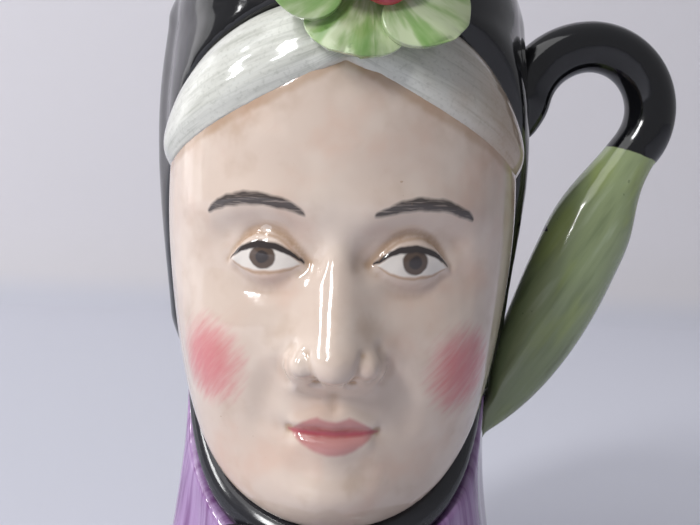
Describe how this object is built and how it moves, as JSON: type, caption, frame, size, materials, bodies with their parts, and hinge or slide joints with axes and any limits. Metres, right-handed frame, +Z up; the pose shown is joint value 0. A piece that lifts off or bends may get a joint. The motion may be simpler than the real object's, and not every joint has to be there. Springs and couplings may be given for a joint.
{
  "type": "character jug",
  "caption": "Glazed earthenware jug in the form of a woman's head in a black bonnet, with a flower and leaves, a mauve shawl and a furled-umbrella handle; holds and pours liquid.",
  "frame": {"origin": "centre of the foot ring, on the surface that the jug stands on", "axes": "+Z up, the face looks along -Y, the handle stands out along +X"},
  "size_m": [0.0685, 0.0559, 0.0939],
  "materials": {
    "cream_glaze": "hand-painted colour under a clear gloss glaze",
    "flesh_glaze": "hand-painted colour under a clear gloss glaze",
    "grey_hair_glaze": "hand-painted colour under a clear gloss glaze",
    "black_glaze": "hand-painted colour under a clear gloss glaze",
    "mauve_glaze": "hand-painted colour under a clear gloss glaze",
    "red_glaze": "hand-painted colour under a clear gloss glaze",
    "leaf_glaze": "hand-painted colour under a clear gloss glaze",
    "green_glaze": "hand-painted colour under a clear gloss glaze"
  },
  "bodies": {
    "root": {"jug_body": "cream_glaze", "face": "flesh_glaze", "hair_left": "grey_hair_glaze", "hair_right": "grey_hair_glaze", "bonnet_hood": "black_glaze", "bonnet_rim": "black_glaze", "string_left": "black_glaze", "string_right": "black_glaze", "bow_knot": "black_glaze", "bow_loop_left": "black_glaze", "bow_loop_right": "black_glaze", "bow_tail_left": "black_glaze", "bow_tail_right": "black_glaze", "shawl": "mauve_glaze", "flower": "red_glaze", "leaf_1": "leaf_glaze", "leaf_2": "leaf_glaze", "leaf_3": "leaf_glaze", "leaf_4": "leaf_glaze", "leaf_5": "leaf_glaze", "leaf_6": "leaf_glaze", "handle_crook": "black_glaze", "handle_canopy": "green_glaze"}
  },
  "joints": []
}
